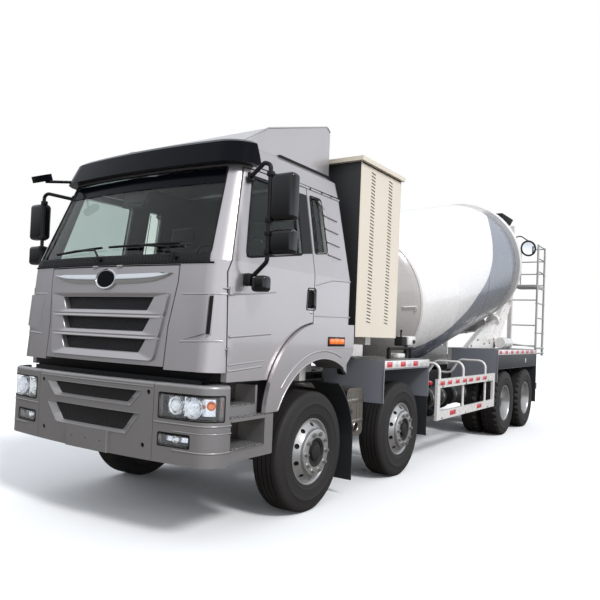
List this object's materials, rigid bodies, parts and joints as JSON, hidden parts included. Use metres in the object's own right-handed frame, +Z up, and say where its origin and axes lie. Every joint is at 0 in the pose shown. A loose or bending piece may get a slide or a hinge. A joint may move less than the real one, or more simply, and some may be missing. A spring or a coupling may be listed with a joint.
{
  "type": "concrete mixer truck",
  "caption": "Rigid four-axle truck with a tilting cab, steered front axles, twin rear wheels, a sloping rotating mixing drum, hoppers, a slewing discharge chute and a rear ladder.",
  "frame": {"origin": "on the ground, at the middle of the truck's length and width", "axes": "+X forward, +Y to the truck's left, +Z up"},
  "size_m": [10.37, 3.24, 4.2241],
  "materials": {
    "silver_paint": "metallic gloss",
    "visor_plastic": "gloss",
    "glass": "tinted",
    "lamp": "clear",
    "seat_cloth": "woven",
    "white_paint": "gloss",
    "galvanised": "satin",
    "beige_paint": "satin",
    "grey_paint": "satin",
    "chassis_paint": "satin",
    "cast": "rough",
    "stainless": "brushed",
    "tyre": "matte",
    "rim_steel": "satin"
  },
  "bodies": {
    "chassis": {"frame_rails": "chassis_paint", "cross_members": "chassis_paint", "engine_block": "cast", "steer_axle_beams": "chassis_paint", "drive_axles": "chassis_paint", "leaf_springs": "chassis_paint", "front_bumper": "silver_paint", "front_lamps": "lamp", "cab_steps": "silver_paint", "side_decks": "grey_paint", "side_guards": "white_paint", "side_tanks": "chassis_paint", "equipment_cabinet": "beige_paint", "front_stands": "white_paint", "water_tank": "white_paint", "drum_drive": "cast", "rear_pedestal": "white_paint", "hoppers": "white_paint", "access_ladder": "galvanised", "underrun_bar": "chassis_paint", "mudguards": "grey_paint", "silencer": "stainless"},
    "cab": {"cab_shell": "silver_paint", "corner_panels": "silver_paint", "windscreen": "glass", "wheel_arches": "silver_paint", "sun_visor": "visor_plastic", "roof_fairing": "silver_paint", "cab_seats": "seat_cloth", "dashboard": "visor_plastic"},
    "lid": {"front_lid": "silver_paint"},
    "left_door": {"door_left": "silver_paint", "door_glass_left": "glass", "mirror_left": "visor_plastic"},
    "right_door": {"door_right": "silver_paint", "door_glass_right": "glass", "mirror_right": "visor_plastic"},
    "steering_1l": {"knuckle_1l": "cast"},
    "wheel_1l": {"tyre_1l": "tyre", "rim_1l": "rim_steel"},
    "steering_1r": {"knuckle_1r": "cast"},
    "wheel_1r": {"tyre_1r": "tyre", "rim_1r": "rim_steel"},
    "steering_2l": {"knuckle_2l": "cast"},
    "wheel_2l": {"tyre_2l": "tyre", "rim_2l": "rim_steel"},
    "steering_2r": {"knuckle_2r": "cast"},
    "wheel_2r": {"tyre_2r": "tyre", "rim_2r": "rim_steel"},
    "wheel_3l": {"tyres_3l": "tyre", "rims_3l": "rim_steel"},
    "wheel_3r": {"tyres_3r": "tyre", "rims_3r": "rim_steel"},
    "wheel_4l": {"tyres_4l": "tyre", "rims_4l": "rim_steel"},
    "wheel_4r": {"tyres_4r": "tyre", "rims_4r": "rim_steel"},
    "drum": {"mixing_drum": "white_paint"},
    "chute_slew": {"chute_bracket": "white_paint"},
    "chute": {"discharge_chute": "white_paint"}
  },
  "joints": [
    {"name": "cab_tilt", "type": "hinge", "parent": "chassis", "child": "cab", "pos_m": [5.045, 0, 0.8], "axis": [0, 1, 0], "range_deg": [0, 50]},
    {"name": "lid_hinge", "type": "hinge", "parent": "cab", "child": "lid", "pos_m": [5.043, 0, 2.09], "axis": [0, -1, 0], "range_deg": [0, 75]},
    {"name": "left_door_hinge", "type": "hinge", "parent": "cab", "child": "left_door", "pos_m": [4.895, 1.206, 1.6], "axis": [0, 0, -1], "range_deg": [0, 70]},
    {"name": "right_door_hinge", "type": "hinge", "parent": "cab", "child": "right_door", "pos_m": [4.895, -1.206, 1.6], "axis": [0, 0, 1], "range_deg": [0, 70]},
    {"name": "steer_1l", "type": "hinge", "parent": "chassis", "child": "steering_1l", "pos_m": [3.645, 0.9, 0.54], "axis": [0, 0, 1], "range_deg": [-35, 35]},
    {"name": "spin_1l", "type": "hinge", "parent": "steering_1l", "child": "wheel_1l", "pos_m": [3.645, 1.045, 0.54], "axis": [0, 1, 0], "continuous": true},
    {"name": "steer_1r", "type": "hinge", "parent": "chassis", "child": "steering_1r", "pos_m": [3.645, -0.9, 0.54], "axis": [0, 0, 1], "range_deg": [-35, 35]},
    {"name": "spin_1r", "type": "hinge", "parent": "steering_1r", "child": "wheel_1r", "pos_m": [3.645, -1.045, 0.54], "axis": [0, 1, 0], "continuous": true},
    {"name": "steer_2l", "type": "hinge", "parent": "chassis", "child": "steering_2l", "pos_m": [1.735, 0.9, 0.54], "axis": [0, 0, 1], "range_deg": [-24, 24]},
    {"name": "spin_2l", "type": "hinge", "parent": "steering_2l", "child": "wheel_2l", "pos_m": [1.735, 1.045, 0.54], "axis": [0, 1, 0], "continuous": true},
    {"name": "steer_2r", "type": "hinge", "parent": "chassis", "child": "steering_2r", "pos_m": [1.735, -0.9, 0.54], "axis": [0, 0, 1], "range_deg": [-24, 24]},
    {"name": "spin_2r", "type": "hinge", "parent": "steering_2r", "child": "wheel_2r", "pos_m": [1.735, -1.045, 0.54], "axis": [0, 1, 0], "continuous": true},
    {"name": "spin_3l", "type": "hinge", "parent": "chassis", "child": "wheel_3l", "pos_m": [-2.435, 0.92, 0.54], "axis": [0, 1, 0], "continuous": true},
    {"name": "spin_3r", "type": "hinge", "parent": "chassis", "child": "wheel_3r", "pos_m": [-2.435, -0.92, 0.54], "axis": [0, 1, 0], "continuous": true},
    {"name": "spin_4l", "type": "hinge", "parent": "chassis", "child": "wheel_4l", "pos_m": [-3.785, 0.92, 0.54], "axis": [0, 1, 0], "continuous": true},
    {"name": "spin_4r", "type": "hinge", "parent": "chassis", "child": "wheel_4r", "pos_m": [-3.785, -0.92, 0.54], "axis": [0, 1, 0], "continuous": true},
    {"name": "drum_spin", "type": "hinge", "parent": "chassis", "child": "drum", "pos_m": [0.775, 0, 2.09], "axis": [-0.9736, 0, 0.2284], "continuous": true},
    {"name": "chute_swing", "type": "hinge", "parent": "chassis", "child": "chute_slew", "pos_m": [-4.855, 0, 1.4], "axis": [0, 0, 1], "range_deg": [-180, 0]},
    {"name": "chute_tilt", "type": "hinge", "parent": "chute_slew", "child": "chute", "pos_m": [-4.855, -0.06, 1.72], "axis": [-1, 0, 0], "range_deg": [-30, 30]}
  ],
  "couplings": [
    {"joint": "steer_1r", "follows": "steer_1l", "ratio": 1},
    {"joint": "steer_2l", "follows": "steer_1l", "ratio": 0.66},
    {"joint": "steer_2r", "follows": "steer_1l", "ratio": 0.66}
  ]
}
